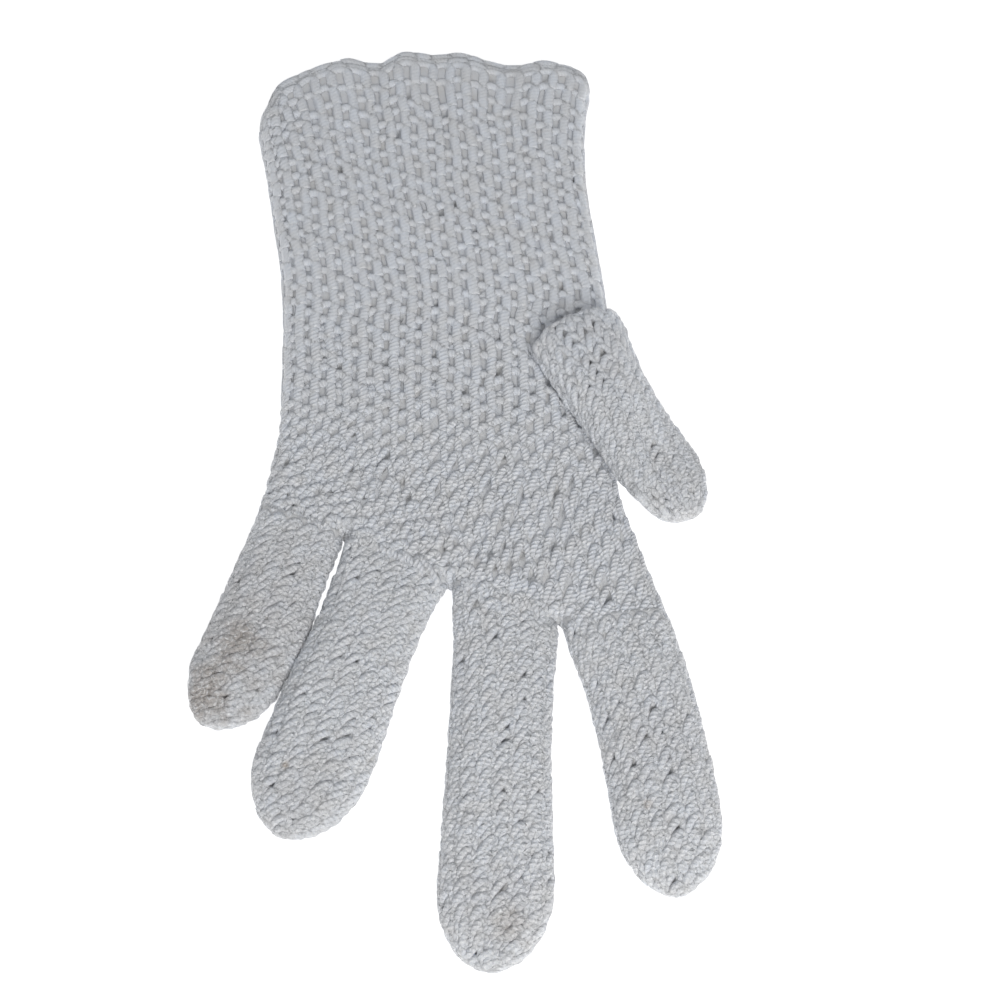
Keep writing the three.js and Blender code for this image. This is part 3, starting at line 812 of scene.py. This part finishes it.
def cotton(name, feel, stains_and_patches, painted_shade=1.0):
    """A material of cotton yarn, or of the fabric behind it with painted shade, from procedural nodes."""
    material = bpy.data.materials.new(name)
    material.use_nodes = True
    tree = material.node_tree
    tree.nodes.clear()

    def add(kind, inputs, **settings):
        """A node with its settings, and inputs that are values or other nodes' outputs."""
        made = tree.nodes.new("ShaderNode" + kind)
        for key, value in settings.items():
            setattr(made, key, value)
        for key, value in inputs.items():
            if isinstance(value, bpy.types.NodeSocket):
                tree.links.new(value, made.inputs[key])
            else:
                made.inputs[key].default_value = value
        return made

    def figure(operation, *values):
        return add("Math", dict(enumerate(values)), operation=operation).outputs["Value"]

    def spread(value, low, high, to_low=0.0, to_high=1.0, soft=True):
        """A value between low and high, made to go from to_low to to_high."""
        inputs = {"Value": value, "From Min": low, "From Max": high, "To Min": to_low, "To Max": to_high}
        kind = "SMOOTHSTEP" if soft else "LINEAR"
        return add("MapRange", inputs, interpolation_type=kind).outputs["Result"]

    def blend(first, second, factor, blend_type="MIX"):
        inputs = {"A": first, "B": second, "Factor": factor}
        return add("Mix", inputs, data_type="RGBA", blend_type=blend_type).outputs["Result"]

    place = add("TexCoord", {}).outputs["Object"]
    along = add("SeparateXYZ", {"Vector": place}).outputs["Y"]

    def noise(scale, **inputs):
        return add("TexNoise", {"Vector": place, "Scale": scale, **inputs}).outputs["Fac"]

    def soft_to_crisp(soft, crisp):
        """A value that goes from soft at the cuff to crisp at the fingers."""
        return spread(along, SOFT_Y * MM, CRISP_Y * MM, soft, crisp)

    # Cream and blue patches
    tone = add("Attribute", {}, attribute_name="tone").outputs["Fac"]
    patches = spread(noise(PATCH_SCALE, Detail=3), *PATCH_RANGE, soft=False)
    cream, blue = (
        (*(part * share for part, share in zip(COTTON, shares)), 1) for shares in (CREAM_SHARE, BLUE_SHARE)
    )
    colour = blend(cream, blue, figure("MULTIPLY_ADD", tone, 0.5, figure("MULTIPLY", patches, 0.5)))

    # Stains and darker patches with ragged rims
    for x, y, radius, strength, mark_colour in stains_and_patches:
        centre = (x * MM, y * MM, STAIN_HEIGHT)
        offset = add("VectorMath", {0: place, 1: centre}, operation="DISTANCE").outputs["Value"]
        ragged = figure("MULTIPLY_ADD", noise(STAIN_SCALE, Detail=4), radius * MM * STAIN_RAGGED, offset)
        fade = spread(ragged, *(radius * MM * share for share in STAIN_FADE), strength, 0)
        colour = blend(colour, (*mark_colour, 1), fade)
    # Painted shade: the fabric behind the loops is made darker and warmer, for the shade in the slits between
    # them
    if painted_shade != 1.0:
        colour = blend(colour, (*(painted_shade * shade for shade in INNER_PAINTED_SHADE_TINT), 1), 1, "MULTIPLY")

    # Fibres, and the plies' grooves along the yarn's own UV map, with painted glints and painted shade in the
    # grooves
    fibre = noise(FIBRE_SCALE, Detail=3, Roughness=0.6)
    height = figure("MULTIPLY", fibre, feel["fuzz"])
    # Painted glints: specks where the fibre noise is high are mixed toward white, standing in for the yarn's
    # sparkle
    if feel["glint"]:
        painted_glint = spread(fibre, *GLINT_RANGE, 0, soft_to_crisp(SOFT_GLINT, feel["glint"]))
        colour = blend(colour, (*PAINTED_GLINT_COLOUR, 1), painted_glint)
    if feel["plies"]:
        marks = add("UVMap", {}, uv_map="yarn_place").outputs["UV"]
        turn = add("SeparateXYZ", {"Vector": marks}).outputs["X"]
        lobe = figure("ABSOLUTE", figure("COSINE", figure("MULTIPLY", turn, math.pi * feel["plies"])))
        # Painted shade: the colour is darker in the grooves between the plies
        painted_groove_shade = spread(lobe, *GROOVE_RANGE, soft_to_crisp(SOFT_GROOVE, feel["painted_groove_shade"]), 1.0, soft=False)
        colour = blend(colour, painted_groove_shade, 1, "MULTIPLY")
        height = figure("MULTIPLY_ADD", lobe, feel["twist"], height)

    relief = soft_to_crisp(SOFT_RELIEF, feel["relief"])
    bump = add("Bump", {"Strength": relief, "Distance": BUMP_DISTANCE, "Height": height})
    shader = add("BsdfPrincipled", {
        "Base Color": colour,
        "Normal": bump.outputs["Normal"],
        "Roughness": feel["gloss"],
        "Specular IOR Level": feel["shine"],
        "Subsurface Weight": 0.5,
        "Subsurface Radius": (1, 1, 1),
        "Subsurface Scale": 0.0004,
        "Sheen Weight": 0.15,
        "Sheen Roughness": 0.5,
    })
    add("OutputMaterial", {"Surface": shader.outputs["BSDF"]})
    return material


def dressed(node, surface, counts, lengths, looks, seed, feel, **options):
    """Crochets a piece over its CAD node, in its own two materials."""
    stains_and_patches = STAINS_AND_PATCHES.get(node, ())
    # The second material is a darker copy for the wall behind the loops: painted shade for the slits
    materials = [cotton(node + "_yarn", feel, stains_and_patches), cotton(node + "_inner", INNER_FEEL, stains_and_patches, INNER_PAINTED_SHADE)]
    crochet(node + "_crochet", node, surface, counts, lengths, looks, seed, materials, **options)


# Looks of the stitches, in mm: loop and bar, yarn radius and how much flatter it is on a ridge and on a
# rung, unevenness along the surface and over it, height factor, sinking, depth of the wall, shares of bars
# left out and of pits, columns out of step in rows, and every other stitch lower
CUFF_LOOK = {
    "loop": WIDE_LOOP, "bar": WIDE_BAR, "radius": 0.7, "wide": 2.1, "rung": 1.65, "wobble": 0.04,
    "uneven": 0.05, "height": 1.0, "sink": 0.0, "wall": 1.06, "gaps": 1.0, "pits": 0.12, "stagger": 0.5,
    "checker": 0.0,
}
HEM_LOOK = {**CUFF_LOOK, "stagger": 0.0, "wall": 0.72, "pits": 0.0}
JOIN_LOOK = {**CUFF_LOOK, "pits": 0.0}
HAND_LOOK = {
    **CUFF_LOOK, "radius": 0.72, "wide": 1.9, "rung": 1.6, "wall": 1.15, "gaps": 0.7, "pits": 0.18,
}
PALM_LOOK = {
    **HAND_LOOK, "loop": SLANTED_LOOP, "bar": PALM_BAR, "radius": 0.76, "wide": 1.22, "rung": 1.22,
    "wobble": 0.055, "height": 0.85, "sink": 0.1, "wall": 0.95, "gaps": 0.32, "pits": 0.28,
}
FINGER_LOOK = {
    **PALM_LOOK, "bar": NARROW_BAR, "radius": 0.72, "wide": 1.3, "rung": 1.3, "wobble": 0.06,
    "uneven": 0.07, "height": 0.55, "sink": 0.3, "wall": 0.7, "gaps": 0.14, "pits": 0.11, "stagger": 0.0,
    "checker": 0.1,
}
WEB_LOOK = {**FINGER_LOOK, "gaps": 0.0, "pits": 0.0}
ROOT_LOOK = {**PALM_LOOK, "uneven": 0.1, "wall": 0.9}

# Seeds of the random draws, one more for each further finger, and points along a loop in the cuff and elsewhere
CUFF_SEED, HAND_SEED, FINGER_SEED, THUMB_SEED = 11, 12, 21, 31
RIDGE_STEPS = 16
LOOP_STEPS = 13

# The cuff
STITCHES_ROUND = 44
CUFF_START = 2.8
CUFF_STEP = 4.75
CUFF_WALL = (1.0, 0.15, 46)
CUFF_LOOKS = [
    (0, HEM_LOOK), (0.06, HEM_LOOK), (0.15, CUFF_LOOK), (0.9, CUFF_LOOK), (0.92, JOIN_LOOK), (1, JOIN_LOOK),
]
cuff = wide_surface(CUFF_ROWS, hem_shape)
lengths = even_rows(cuff, CUFF_START, CUFF_STEP, CUFF_STEP)
dressed(
    "cuff", cuff, row_counts(cuff, lengths, STITCHES_ROUND), lengths, CUFF_LOOKS, CUFF_SEED, CUFF_FEEL,
    wall=CUFF_WALL, steps=RIDGE_STEPS, edge=True,
)


def within(points, margin=0.0):
    """Whether points are in the slit, moved to the thumb's side and made shorter by a margin."""
    x, y = points[..., 0] - margin, points[..., 1]
    return (x > OPEN_X[0]) & (x < OPEN_X[1]) & (y > OPEN_Y[0]) & (y < OPEN_Y[1] - margin)


def under_thumb(points, normal):
    """Where the hand's top is open into the thumb."""
    return within(points) & (normal[..., 2] > OPEN_FACING)


def over_hand(points, normal):
    """Where the thumb's underside is open into the hand."""
    return within(points, OPEN_MARGIN) & (normal[..., 2] < -OPEN_FACING)


# The hand, with six more stitches round near the fingers, one in each row
HAND_STEPS = (4.9, 4.0)
HAND_EASE = (0.1, 0.8)
HAND_WALL = (-0.1, 0.1, 64)
MORE_STITCHES = 6
HAND_LOOKS = [
    (0, JOIN_LOOK), (0.06, CUFF_LOOK), (0.35, HAND_LOOK), (0.6, PALM_LOOK), (0.85, PALM_LOOK), (1, WEB_LOOK),
]
hand = wide_surface(HAND_ROWS, web_shape, FINGER_LINE[1:-1])
lengths = even_rows(hand, 0.0, *HAND_STEPS, HAND_EASE)
to_end = len(lengths) - 1 - np.arange(len(lengths) - 1)
counts = STITCHES_ROUND + np.clip(MORE_STITCHES + 1 - to_end, 0, MORE_STITCHES)
dressed(
    "hand", hand, counts, lengths, HAND_LOOKS, HAND_SEED, HAND_FEEL,
    wall=HAND_WALL, steps=LOOP_STEPS, left_out=under_thumb, parts=2,
)

# The fingers: stitches round and the rows' height
FINGER_WALL = (-1.4, 0.0, 84)
FINGER_STITCHES = {
    "finger_little": (13, 2.6), "finger_ring": (15, 2.6), "finger_middle": (15, 2.8), "finger_index": (15, 2.8),
}
for order, (name, (count, step)) in enumerate(FINGER_STITCHES.items()):
    tube = narrow_surface(FINGER_ROWS[name], root_side=unit(FINGER_LINE[order + 1] - FINGER_LINE[order]))
    lengths = even_rows(tube, 0.0, step, step)
    dressed(
        name, tube, row_counts(tube, lengths, count), lengths, [(0, FINGER_LOOK)], FINGER_SEED + order,
        FINGER_FEEL, wall=FINGER_WALL, steps=LOOP_STEPS,
    )

# The thumb
THUMB_STITCHES = 15
THUMB_STEPS = (3.6, 2.6)
THUMB_EASE = (0.2, 0.5)
THUMB_WALL = (0.0, 0.0, 72)
THUMB_LOOKS = [(0, ROOT_LOOK), (0.25, ROOT_LOOK), (0.4, FINGER_LOOK)]
thumb = narrow_surface(THUMB_ROWS, folded=True)
lengths = even_rows(thumb, 0.0, *THUMB_STEPS, THUMB_EASE)
dressed(
    "thumb", thumb, row_counts(thumb, lengths, THUMB_STITCHES), lengths, THUMB_LOOKS, THUMB_SEED, THUMB_FEEL,
    wall=THUMB_WALL, steps=LOOP_STEPS, left_out=over_hand,
)

# The floor, in m: a pale sheet a little under the glove
FLOOR_HALF = 3.0
FLOOR_DROP = 0.0001
FLOOR_COLOUR = (0.6, 0.6, 0.6, 1)
FLOOR_ROUGHNESS = 0.9
FLOOR_GLOW = 0.75
floor_mesh = bpy.data.meshes.new("floor")
floor_corners = [(x * FLOOR_HALF, y * FLOOR_HALF, 0) for x, y in ((-1, -1), (1, -1), (1, 1), (-1, 1))]
floor_mesh.from_pydata(floor_corners, [], [(0, 1, 2, 3)])
floor = bpy.data.objects.new("floor", floor_mesh)
floor.location.z = -FLOOR_DROP
bpy.context.scene.collection.objects.link(floor)
paper = bpy.data.materials.new("pale_floor")
paper.use_nodes = True
paper_inputs = paper.node_tree.nodes["Principled BSDF"].inputs
paper_inputs["Base Color"].default_value = FLOOR_COLOUR
paper_inputs["Roughness"].default_value = FLOOR_ROUGHNESS
paper_inputs["Emission Color"].default_value = (1, 1, 1, 1)
paper_inputs["Emission Strength"].default_value = FLOOR_GLOW
floor_mesh.materials.append(paper)


def soft_light(name, spot, size, power, colour):
    """A square light aimed at the glove, in m and W."""
    data = bpy.data.lights.new(name, "AREA")
    data.shape = "SQUARE"
    data.size = size
    data.energy = power
    data.color = colour
    lamp = bpy.data.objects.new(name, data)
    lamp.location = spot
    lamp.rotation_mode = "QUATERNION"
    lamp.rotation_quaternion = (-Vector(spot)).to_track_quat("-Z", "Y")
    bpy.context.scene.collection.objects.link(lamp)


# A warm light low in front, a cool one behind, and a cool glow all round
soft_light("key", spot=(0.14, -0.43, 0.42), size=0.36, power=2.0, colour=(1.0, 0.99, 0.97))
soft_light("fill", spot=(-0.4, 0.5, 0.9), size=0.9, power=1.1, colour=(0.95, 0.97, 1.0))

WORLD_COLOUR = (0.95, 0.97, 1.0, 1)
WORLD_STRENGTH = 0.34
world = bpy.data.worlds.new("studio")
world.use_nodes = True
background = world.node_tree.nodes["Background"]
background.inputs["Color"].default_value = WORLD_COLOUR
background.inputs["Strength"].default_value = WORLD_STRENGTH
bpy.context.scene.world = world
bpy.context.scene.view_settings.view_transform = "Standard"
